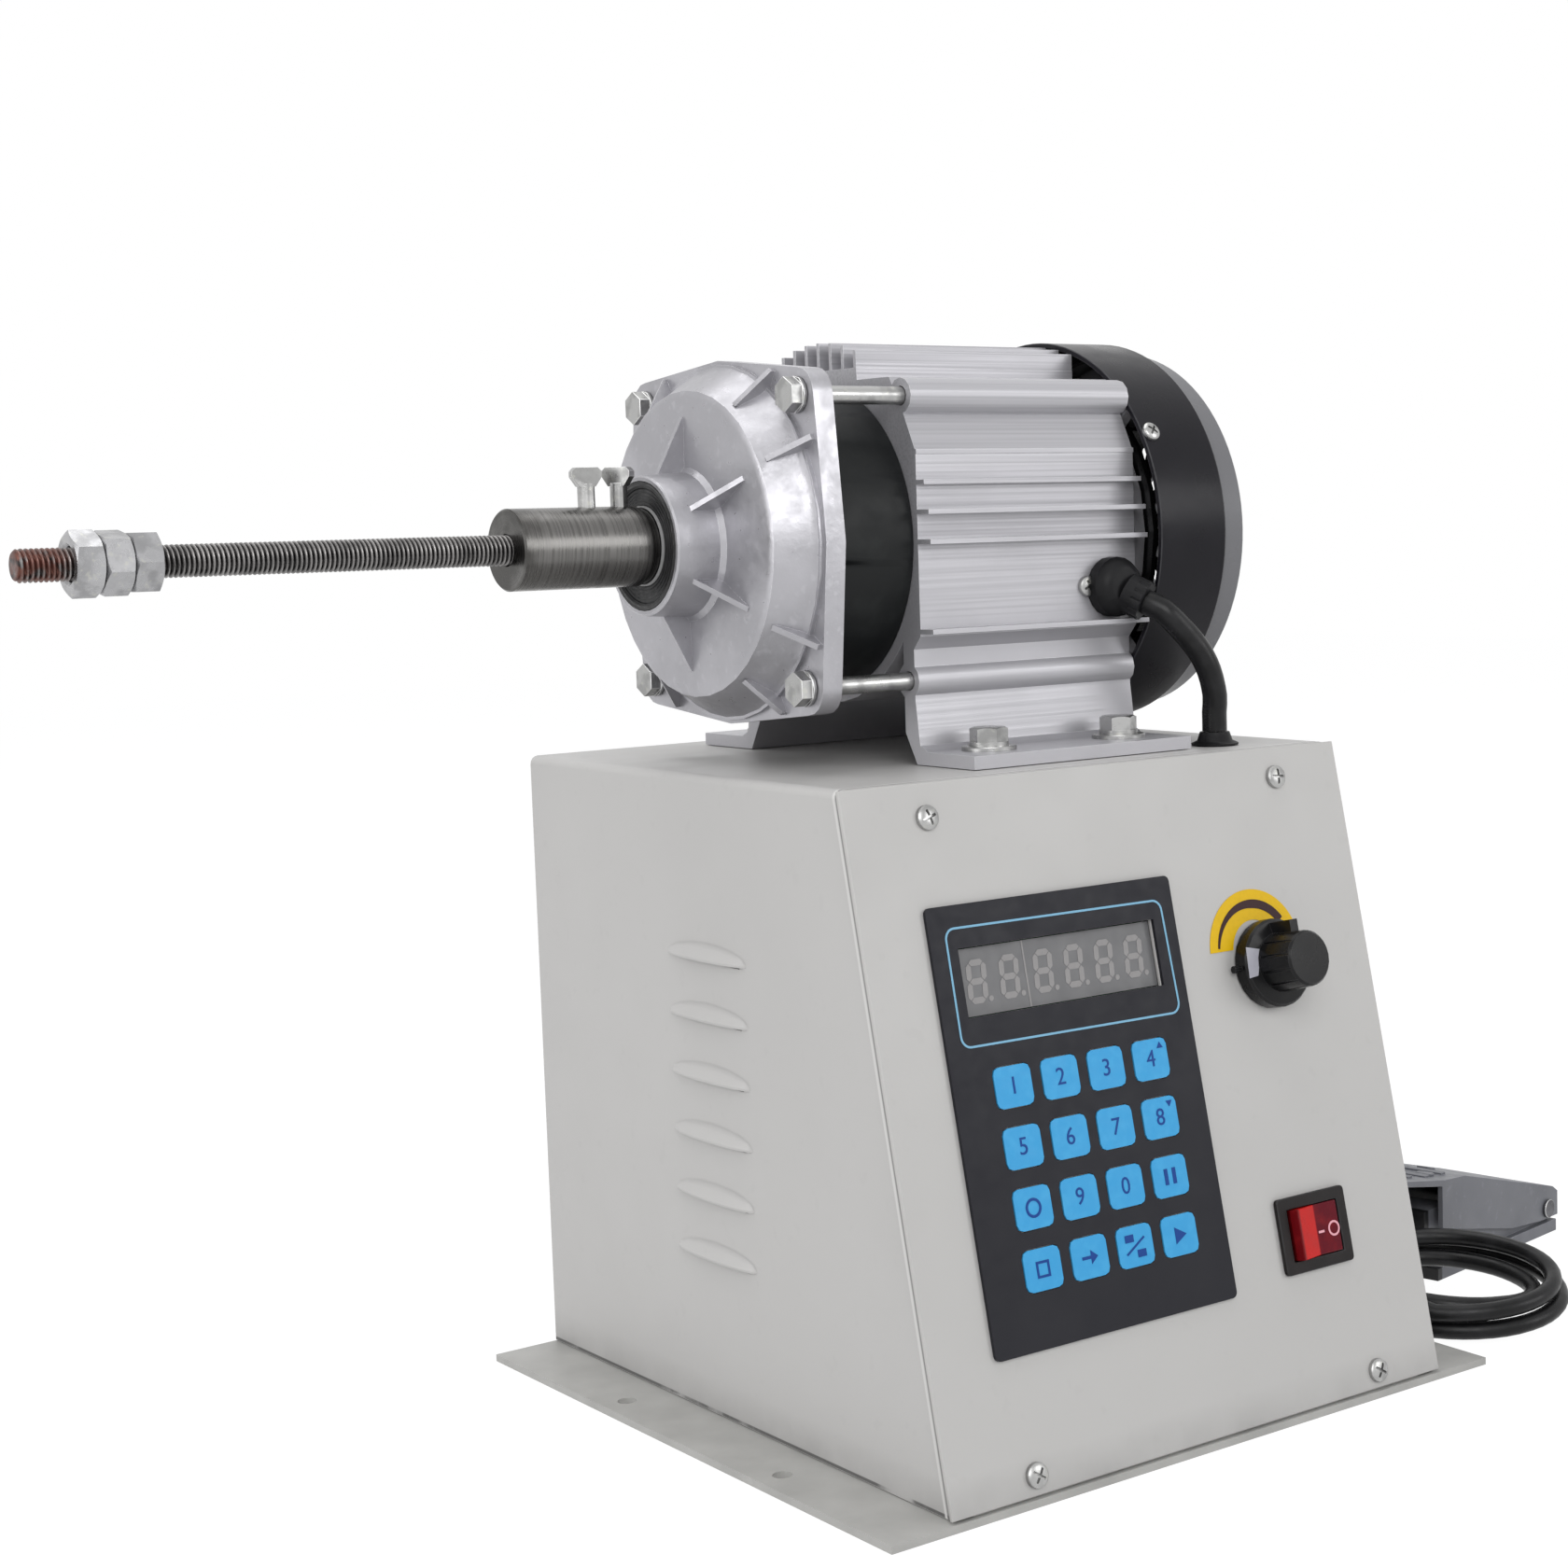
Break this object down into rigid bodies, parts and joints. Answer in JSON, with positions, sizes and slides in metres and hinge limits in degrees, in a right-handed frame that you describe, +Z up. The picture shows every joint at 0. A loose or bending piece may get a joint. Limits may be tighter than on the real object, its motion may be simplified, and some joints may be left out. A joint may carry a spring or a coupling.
{
  "type": "wire coil winding machine",
  "caption": "Bench coil winder: sheet metal cabinet with a sloped keypad panel, a geared motor on top turning a clamping rod, and a foot pedal on a coiled cord.",
  "frame": {"origin": "middle of the base plate's underside, on the floor", "axes": "+Z up; X along the spindle, with the rod's free end towards -X; the sloped operator panel faces -Y"},
  "size_m": [0.5981, 0.2915, 0.3627],
  "materials": {
    "painted_steel": "satin light grey powder coat on sheet steel",
    "panel_paint": "satin light grey powder coat",
    "overlay_black": "satin printed polyester film",
    "key_blue": "smooth blue film",
    "board_green": "coated circuit board",
    "bright_steel": "bright plated steel",
    "black_plastic": "moulded black plastic",
    "rocker_red": "glossy red plastic",
    "extruded_aluminium": "extruded, lightly blasted",
    "copper_winding": "varnished copper wire on a laminated core",
    "turned_steel": "dark turned steel, lightly oiled",
    "gear_black": "blackened steel",
    "cast_aluminium": "die cast, matt",
    "zinc_plate": "bright zinc plate",
    "pedal_grey": "satin dark grey paint",
    "cord_black": "satin black rubber sheath"
  },
  "bodies": {
    "cabinet": {"base_plate": "painted_steel", "body_shell": "painted_steel", "back_panel": "painted_steel", "front_panel": "panel_paint", "keypad_overlay": "overlay_black", "control_board": "board_green", "power_board": "board_green", "speed_pot": "bright_steel", "rocker_bezel": "black_plastic", "motor_housing": "extruded_aluminium", "stator": "copper_winding", "ring_gear": "gear_black", "gear_cover": "cast_aluminium", "spindle_bearing": "gear_black", "tie_bolt_1": "bright_steel", "tie_bolt_2": "bright_steel", "tie_bolt_3": "bright_steel", "tie_bolt_4": "bright_steel", "rear_shield": "cast_aluminium", "fan_cover": "black_plastic", "motor_gland": "black_plastic", "motor_cable": "cord_black", "cable_boot": "black_plastic", "cord_gland": "black_plastic", "pedal_base": "pedal_grey", "pedal_pin": "bright_steel", "pedal_lead": "cord_black", "pedal_coil": "cord_black", "pedal_tail": "cord_black"},
    "motor_rotor": {"rotor": "turned_steel", "fan": "black_plastic"},
    "output_spindle": {"spindle": "turned_steel"},
    "planet_1": {"planet_gear_1": "bright_steel"},
    "planet_2": {"planet_gear_2": "bright_steel"},
    "planet_3": {"planet_gear_3": "bright_steel"},
    "rod": {"mandrel_rod": "turned_steel"},
    "tip_nut": {"rod_nut_1": "zinc_plate"},
    "middle_nut": {"rod_nut_2": "zinc_plate"},
    "inner_nut": {"rod_nut_3": "zinc_plate"},
    "wing_1": {"wing_screw_1": "bright_steel"},
    "wing_2": {"wing_screw_2": "bright_steel"},
    "knob": {"speed_knob": "black_plastic"},
    "power_rocker": {"rocker": "rocker_red"},
    "key_01_cap": {"key_01": "key_blue"},
    "key_02_cap": {"key_02": "key_blue"},
    "key_03_cap": {"key_03": "key_blue"},
    "key_04_cap": {"key_04": "key_blue"},
    "key_05_cap": {"key_05": "key_blue"},
    "key_06_cap": {"key_06": "key_blue"},
    "key_07_cap": {"key_07": "key_blue"},
    "key_08_cap": {"key_08": "key_blue"},
    "key_09_cap": {"key_09": "key_blue"},
    "key_10_cap": {"key_10": "key_blue"},
    "key_11_cap": {"key_11": "key_blue"},
    "key_12_cap": {"key_12": "key_blue"},
    "key_13_cap": {"key_13": "key_blue"},
    "key_14_cap": {"key_14": "key_blue"},
    "key_15_cap": {"key_15": "key_blue"},
    "key_16_cap": {"key_16": "key_blue"},
    "treadle": {"pedal_treadle": "pedal_grey"}
  },
  "joints": [
    {"name": "rotor_spin", "type": "hinge", "parent": "cabinet", "child": "motor_rotor", "pos_m": [0, 0.02425, 0.294], "axis": [1, 0, 0], "continuous": true},
    {"name": "spindle_spin", "type": "hinge", "parent": "cabinet", "child": "output_spindle", "pos_m": [0, 0.02425, 0.294], "axis": [1, 0, 0], "continuous": true},
    {"name": "planet_1_spin", "type": "hinge", "parent": "output_spindle", "child": "planet_1", "pos_m": [-0.0517, -0.00275, 0.294], "axis": [1, 0, 0], "continuous": true},
    {"name": "planet_2_spin", "type": "hinge", "parent": "output_spindle", "child": "planet_2", "pos_m": [-0.0517, 0.03775, 0.31738], "axis": [1, 0, 0], "continuous": true},
    {"name": "planet_3_spin", "type": "hinge", "parent": "output_spindle", "child": "planet_3", "pos_m": [-0.0517, 0.03775, 0.27062], "axis": [1, 0, 0], "continuous": true},
    {"name": "rod_slide", "type": "slide", "parent": "output_spindle", "child": "rod", "axis": [-1, 0, 0], "range_m": [0, 0.045]},
    {"name": "tip_nut_slide", "type": "slide", "parent": "rod", "child": "tip_nut", "axis": [-1, 0, 0], "range_m": [0, 0.012]},
    {"name": "inner_nut_slide", "type": "slide", "parent": "rod", "child": "inner_nut", "axis": [1, 0, 0], "range_m": [0, 0.1]},
    {"name": "middle_nut_slide", "type": "slide", "parent": "rod", "child": "middle_nut", "axis": [1, 0, 0], "range_m": [0, 0.1]},
    {"name": "wing_1_slide", "type": "slide", "parent": "output_spindle", "child": "wing_1", "axis": [0, 0, 1], "range_m": [0, 0.003]},
    {"name": "wing_2_slide", "type": "slide", "parent": "output_spindle", "child": "wing_2", "axis": [0, 0, 1], "range_m": [0, 0.003]},
    {"name": "knob_turn", "type": "hinge", "parent": "cabinet", "child": "knob", "pos_m": [0.057, -0.0901, 0.14743], "axis": [0, -0.9763, 0.2162], "range_deg": [-150, 150]},
    {"name": "rocker_tip", "type": "hinge", "parent": "cabinet", "child": "power_rocker", "pos_m": [0.0572, -0.11006, 0.05915], "axis": [0, 0.2162, 0.9763], "range_deg": [-16, 0]},
    {"name": "key_01_press", "type": "slide", "parent": "cabinet", "child": "key_01_cap", "axis": [0, 0.9763, -0.2162], "range_m": [0, 0.0004], "stiffness_N_per_m": 400, "springref_m": -0.0002},
    {"name": "key_02_press", "type": "slide", "parent": "cabinet", "child": "key_02_cap", "axis": [0, 0.9763, -0.2162], "range_m": [0, 0.0004], "stiffness_N_per_m": 400, "springref_m": -0.0002},
    {"name": "key_03_press", "type": "slide", "parent": "cabinet", "child": "key_03_cap", "axis": [0, 0.9763, -0.2162], "range_m": [0, 0.0004], "stiffness_N_per_m": 400, "springref_m": -0.0002},
    {"name": "key_04_press", "type": "slide", "parent": "cabinet", "child": "key_04_cap", "axis": [0, 0.9763, -0.2162], "range_m": [0, 0.0004], "stiffness_N_per_m": 400, "springref_m": -0.0002},
    {"name": "key_05_press", "type": "slide", "parent": "cabinet", "child": "key_05_cap", "axis": [0, 0.9763, -0.2162], "range_m": [0, 0.0004], "stiffness_N_per_m": 400, "springref_m": -0.0002},
    {"name": "key_06_press", "type": "slide", "parent": "cabinet", "child": "key_06_cap", "axis": [0, 0.9763, -0.2162], "range_m": [0, 0.0004], "stiffness_N_per_m": 400, "springref_m": -0.0002},
    {"name": "key_07_press", "type": "slide", "parent": "cabinet", "child": "key_07_cap", "axis": [0, 0.9763, -0.2162], "range_m": [0, 0.0004], "stiffness_N_per_m": 400, "springref_m": -0.0002},
    {"name": "key_08_press", "type": "slide", "parent": "cabinet", "child": "key_08_cap", "axis": [0, 0.9763, -0.2162], "range_m": [0, 0.0004], "stiffness_N_per_m": 400, "springref_m": -0.0002},
    {"name": "key_09_press", "type": "slide", "parent": "cabinet", "child": "key_09_cap", "axis": [0, 0.9763, -0.2162], "range_m": [0, 0.0004], "stiffness_N_per_m": 400, "springref_m": -0.0002},
    {"name": "key_10_press", "type": "slide", "parent": "cabinet", "child": "key_10_cap", "axis": [0, 0.9763, -0.2162], "range_m": [0, 0.0004], "stiffness_N_per_m": 400, "springref_m": -0.0002},
    {"name": "key_11_press", "type": "slide", "parent": "cabinet", "child": "key_11_cap", "axis": [0, 0.9763, -0.2162], "range_m": [0, 0.0004], "stiffness_N_per_m": 400, "springref_m": -0.0002},
    {"name": "key_12_press", "type": "slide", "parent": "cabinet", "child": "key_12_cap", "axis": [0, 0.9763, -0.2162], "range_m": [0, 0.0004], "stiffness_N_per_m": 400, "springref_m": -0.0002},
    {"name": "key_13_press", "type": "slide", "parent": "cabinet", "child": "key_13_cap", "axis": [0, 0.9763, -0.2162], "range_m": [0, 0.0004], "stiffness_N_per_m": 400, "springref_m": -0.0002},
    {"name": "key_14_press", "type": "slide", "parent": "cabinet", "child": "key_14_cap", "axis": [0, 0.9763, -0.2162], "range_m": [0, 0.0004], "stiffness_N_per_m": 400, "springref_m": -0.0002},
    {"name": "key_15_press", "type": "slide", "parent": "cabinet", "child": "key_15_cap", "axis": [0, 0.9763, -0.2162], "range_m": [0, 0.0004], "stiffness_N_per_m": 400, "springref_m": -0.0002},
    {"name": "key_16_press", "type": "slide", "parent": "cabinet", "child": "key_16_cap", "axis": [0, 0.9763, -0.2162], "range_m": [0, 0.0004], "stiffness_N_per_m": 400, "springref_m": -0.0002},
    {"name": "treadle_press", "type": "hinge", "parent": "cabinet", "child": "treadle", "pos_m": [0.26933, 0.00019, 0.0108], "axis": [0.1891, -0.982, 0], "range_deg": [0, 5], "stiffness_Nm_per_rad": 3, "springref_deg": -5.73}
  ],
  "couplings": [
    {"joint": "spindle_spin", "follows": "rotor_spin", "ratio": 0.22222},
    {"joint": "planet_1_spin", "follows": "rotor_spin", "ratio": -0.62222},
    {"joint": "planet_2_spin", "follows": "rotor_spin", "ratio": -0.62222},
    {"joint": "planet_3_spin", "follows": "rotor_spin", "ratio": -0.62222},
    {"joint": "middle_nut_slide", "follows": "inner_nut_slide", "ratio": 1}
  ]
}
